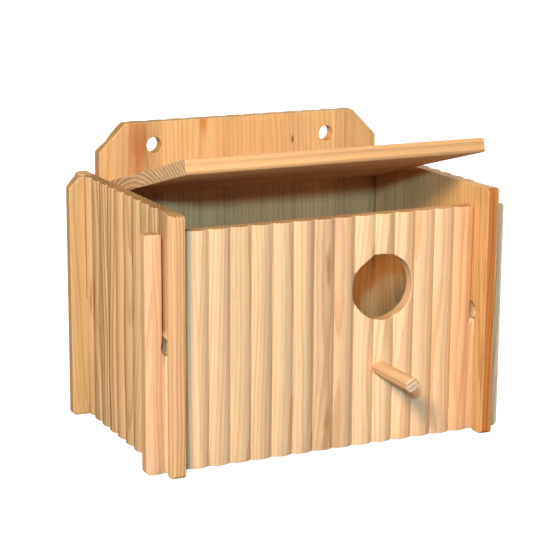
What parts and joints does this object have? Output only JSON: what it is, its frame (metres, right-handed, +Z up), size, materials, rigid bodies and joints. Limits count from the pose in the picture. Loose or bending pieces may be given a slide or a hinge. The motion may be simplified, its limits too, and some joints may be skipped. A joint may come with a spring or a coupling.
{
  "type": "birdhouse",
  "caption": "Birdhouse of interlocking reeded softwood panels with a round entrance above a dowel perch, a lid hinged between the sides, and a raised back for hanging.",
  "frame": {"origin": "on the ground, under the centre of the whole object's bounding box, perch included", "axes": "+Z up, the front with the entrance faces -Y, and +X runs along the front panel to the right as seen from the front"},
  "size_m": [0.349, 0.279, 0.275],
  "materials": {
    "front_wood": "planed, unfinished softwood",
    "back_wood": "planed, unfinished softwood",
    "side_wood": "planed, unfinished softwood",
    "floor_wood": "planed, unfinished softwood",
    "perch_wood": "turned, unfinished dowel",
    "lid_wood": "planed, unfinished softwood",
    "pin_steel": "plain drawn wire"
  },
  "bodies": {
    "box": {"front_panel": "front_wood", "back_panel": "back_wood", "left_side_panel": "side_wood", "right_side_panel": "side_wood", "floor_panel": "floor_wood", "perch": "perch_wood"},
    "lid": {"lid": "lid_wood", "left_hinge_pin": "pin_steel", "right_hinge_pin": "pin_steel"}
  },
  "joints": [
    {"name": "lid_hinge", "type": "hinge", "parent": "box", "child": "lid", "pos_m": [0, 0.094, 0.2168], "axis": [-1, 0, 0], "range_deg": [-15, 79]}
  ]
}
